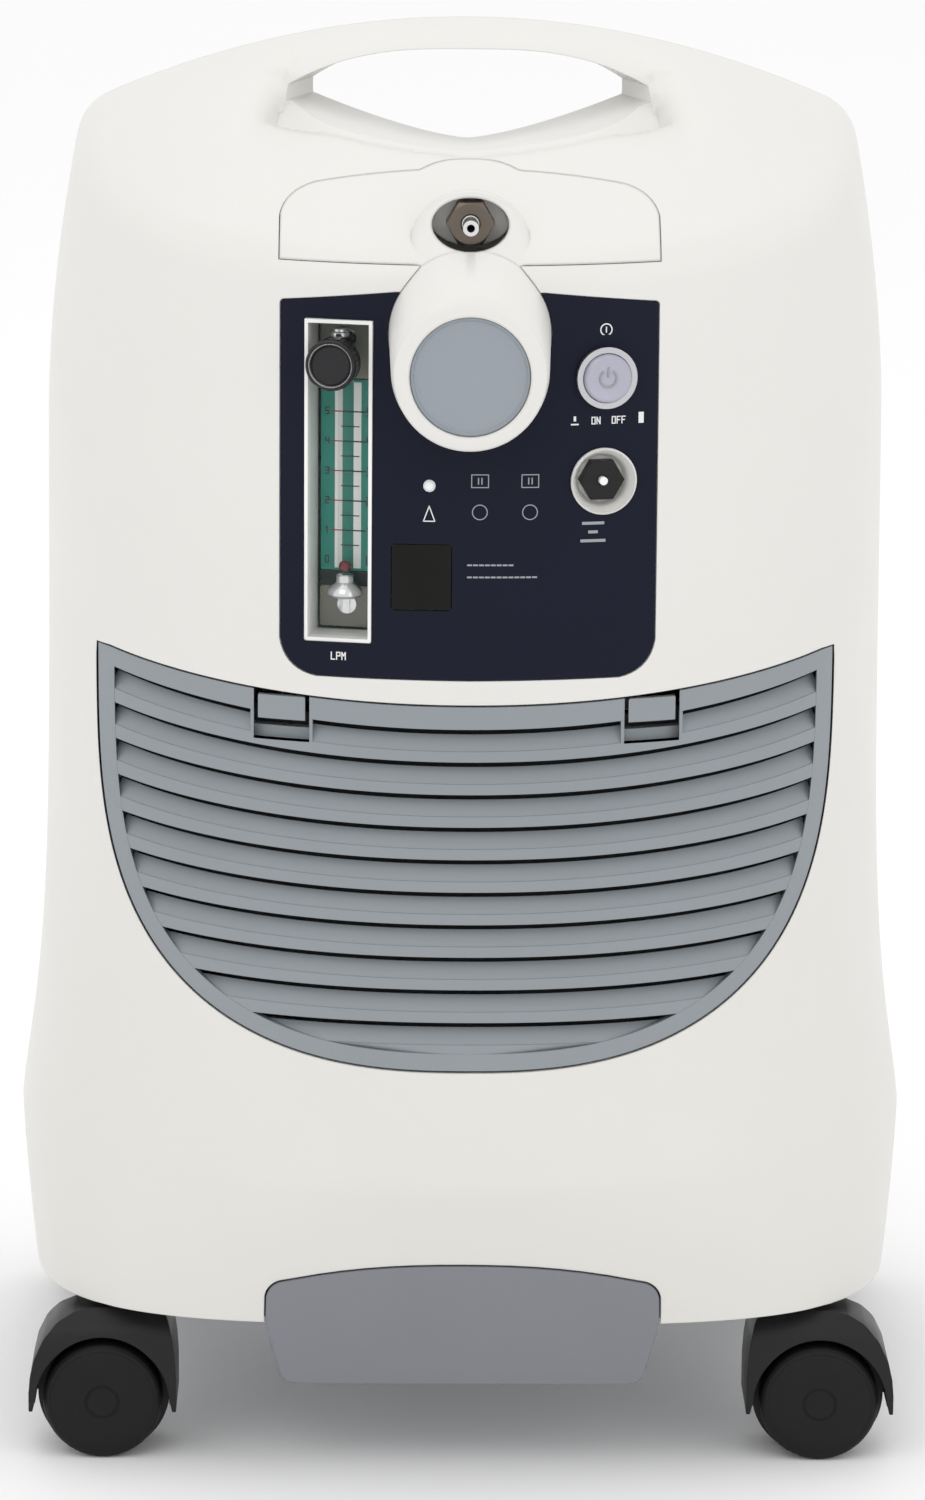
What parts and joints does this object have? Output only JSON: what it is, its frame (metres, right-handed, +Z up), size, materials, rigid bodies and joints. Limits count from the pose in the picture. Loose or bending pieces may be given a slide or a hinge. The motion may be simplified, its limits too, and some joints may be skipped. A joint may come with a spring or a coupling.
{
  "type": "oxygen concentrator",
  "caption": "Upright home oxygen concentrator cabinet with a hand hole, flow meter, control panel, tilt-out intake grille and twin-wheel swivel casters.",
  "frame": {"origin": "on the floor under the middle of the cabinet", "axes": "+Z up, the control panel and grille face -Y, +X to the right seen from the front"},
  "size_m": [0.38, 0.33, 0.594],
  "materials": {
    "cream_plastic": "satin moulded ABS",
    "tray_plastic": "moulded",
    "grey_plastic": "fine moulded texture",
    "foam_black": "open cell foam",
    "navy_overlay": "printed satin film",
    "lens_blue_grey": "translucent moulded",
    "bronze_metal": "dark bronze plated brass",
    "bright_metal": "bright plated",
    "clear_acrylic": "polished clear",
    "scale_green": "printed",
    "ball_red": "polished",
    "knob_black": "gloss moulded",
    "brass": "turned",
    "button_lavender": "satin moulded",
    "white_plastic": "moulded",
    "display_black": "polished",
    "board_green": "solder mask",
    "cast_metal": "painted casting",
    "aluminium": "drawn and clear anodised",
    "black_rubber": "moulded rubber",
    "black_plastic": "moulded nylon",
    "steel": "zinc plated"
  },
  "bodies": {
    "cabinet": {"front_cover": "cream_plastic", "rear_cover": "cream_plastic", "base_tray": "tray_plastic", "front_skirt": "grey_plastic", "intake_foam": "foam_black", "control_panel": "navy_overlay", "outlet_hood": "cream_plastic", "boss_lens": "lens_blue_grey", "outlet_nut": "bronze_metal", "outlet_nipple": "bright_metal", "flowmeter_bezel": "cream_plastic", "flowmeter_body": "clear_acrylic", "flowmeter_scale": "scale_green", "flowmeter_fittings": "bright_metal", "power_bezel": "bright_metal", "reset_cup": "cream_plastic", "reset_nut": "knob_black", "display_window": "display_black", "alarm_led": "white_plastic", "control_board": "board_green", "compressor_housing": "cast_metal", "compressor_heads": "aluminium", "compressor_mounts": "black_rubber", "cooling_fan_frame": "black_plastic", "sieve_bed_left": "aluminium", "sieve_bed_right": "aluminium", "product_tank": "aluminium", "valve_manifold": "aluminium", "heat_exchanger": "aluminium", "hepa_filter": "white_plastic", "exhaust_muffler": "black_plastic", "mains_inlet": "black_plastic", "rear_vent": "grey_plastic", "case_screws": "steel", "caster_stems": "steel"},
    "grille": {"intake_grille": "grey_plastic"},
    "latch_left": {"grille_latch_left": "grey_plastic"},
    "latch_right": {"grille_latch_right": "grey_plastic"},
    "ball": {"flow_ball": "ball_red"},
    "knob": {"flow_knob": "knob_black", "flow_valve_stem": "brass"},
    "power_button": {"power_button": "button_lavender"},
    "reset_button": {"reset_button": "white_plastic"},
    "fan_rotor": {"cooling_fan_rotor": "black_plastic"},
    "fork_front_left": {"caster_fork_front_left": "black_plastic", "caster_axle_front_left": "steel"},
    "wheel_front_left_a": {"caster_wheel_front_left_a": "black_plastic"},
    "wheel_front_left_b": {"caster_wheel_front_left_b": "black_plastic"},
    "fork_front_right": {"caster_fork_front_right": "black_plastic", "caster_axle_front_right": "steel"},
    "wheel_front_right_a": {"caster_wheel_front_right_a": "black_plastic"},
    "wheel_front_right_b": {"caster_wheel_front_right_b": "black_plastic"},
    "fork_rear_left": {"caster_fork_rear_left": "black_plastic", "caster_axle_rear_left": "steel"},
    "wheel_rear_left_a": {"caster_wheel_rear_left_a": "black_plastic"},
    "wheel_rear_left_b": {"caster_wheel_rear_left_b": "black_plastic"},
    "fork_rear_right": {"caster_fork_rear_right": "black_plastic", "caster_axle_rear_right": "steel"},
    "wheel_rear_right_a": {"caster_wheel_rear_right_a": "black_plastic"},
    "wheel_rear_right_b": {"caster_wheel_rear_right_b": "black_plastic"}
  },
  "joints": [
    {"name": "grille_tilt", "type": "hinge", "parent": "cabinet", "child": "grille", "pos_m": [0, -0.152, 0.1795], "axis": [1, 0, 0], "range_deg": [0, 30]},
    {"name": "latch_left_slide", "type": "slide", "parent": "grille", "child": "latch_left", "axis": [0, 0, -1], "range_m": [0, 0.004], "stiffness_N_per_m": 300},
    {"name": "latch_right_slide", "type": "slide", "parent": "grille", "child": "latch_right", "axis": [0, 0, -1], "range_m": [0, 0.004], "stiffness_N_per_m": 300},
    {"name": "flow_knob_turn", "type": "hinge", "parent": "cabinet", "child": "knob", "pos_m": [-0.05427, -0.14064, 0.4706], "axis": [-0.2083, -0.9781, 0], "range_deg": [0, 1080]},
    {"name": "flow_ball_rise", "type": "slide", "parent": "cabinet", "child": "ball", "axis": [0, 0, 1], "range_m": [0, 0.0625]},
    {"name": "power_button_press", "type": "slide", "parent": "cabinet", "child": "power_button", "axis": [-0.2448, 0.9696, 0], "range_m": [0, 0.003], "stiffness_N_per_m": 800},
    {"name": "reset_button_press", "type": "slide", "parent": "cabinet", "child": "reset_button", "axis": [-0.2159, 0.9764, 0], "range_m": [0, 0.002], "stiffness_N_per_m": 1200},
    {"name": "fan_spin", "type": "hinge", "parent": "cabinet", "child": "fan_rotor", "pos_m": [0, -0.032, 0.24], "axis": [0, 0, 1], "continuous": true},
    {"name": "swivel_front_left", "type": "hinge", "parent": "cabinet", "child": "fork_front_left", "pos_m": [-0.133, -0.11, 0.058], "axis": [0, 0, 1], "continuous": true},
    {"name": "roll_front_left_a", "type": "hinge", "parent": "fork_front_left", "child": "wheel_front_left_a", "pos_m": [-0.151, -0.11, 0.025], "axis": [0, 1, 0], "continuous": true},
    {"name": "roll_front_left_b", "type": "hinge", "parent": "fork_front_left", "child": "wheel_front_left_b", "pos_m": [-0.151, -0.11, 0.025], "axis": [0, 1, 0], "continuous": true},
    {"name": "swivel_front_right", "type": "hinge", "parent": "cabinet", "child": "fork_front_right", "pos_m": [0.133, -0.11, 0.058], "axis": [0, 0, 1], "continuous": true},
    {"name": "roll_front_right_a", "type": "hinge", "parent": "fork_front_right", "child": "wheel_front_right_a", "pos_m": [0.151, -0.11, 0.025], "axis": [0, 1, 0], "continuous": true},
    {"name": "roll_front_right_b", "type": "hinge", "parent": "fork_front_right", "child": "wheel_front_right_b", "pos_m": [0.151, -0.11, 0.025], "axis": [0, 1, 0], "continuous": true},
    {"name": "swivel_rear_left", "type": "hinge", "parent": "cabinet", "child": "fork_rear_left", "pos_m": [-0.133, 0.11, 0.058], "axis": [0, 0, 1], "continuous": true},
    {"name": "roll_rear_left_a", "type": "hinge", "parent": "fork_rear_left", "child": "wheel_rear_left_a", "pos_m": [-0.151, 0.11, 0.025], "axis": [0, 1, 0], "continuous": true},
    {"name": "roll_rear_left_b", "type": "hinge", "parent": "fork_rear_left", "child": "wheel_rear_left_b", "pos_m": [-0.151, 0.11, 0.025], "axis": [0, 1, 0], "continuous": true},
    {"name": "swivel_rear_right", "type": "hinge", "parent": "cabinet", "child": "fork_rear_right", "pos_m": [0.133, 0.11, 0.058], "axis": [0, 0, 1], "continuous": true},
    {"name": "roll_rear_right_a", "type": "hinge", "parent": "fork_rear_right", "child": "wheel_rear_right_a", "pos_m": [0.151, 0.11, 0.025], "axis": [0, 1, 0], "continuous": true},
    {"name": "roll_rear_right_b", "type": "hinge", "parent": "fork_rear_right", "child": "wheel_rear_right_b", "pos_m": [0.151, 0.11, 0.025], "axis": [0, 1, 0], "continuous": true}
  ],
  "couplings": [
    {"joint": "flow_ball_rise", "follows": "flow_knob_turn", "m_per_rad": 0.0033157}
  ]
}
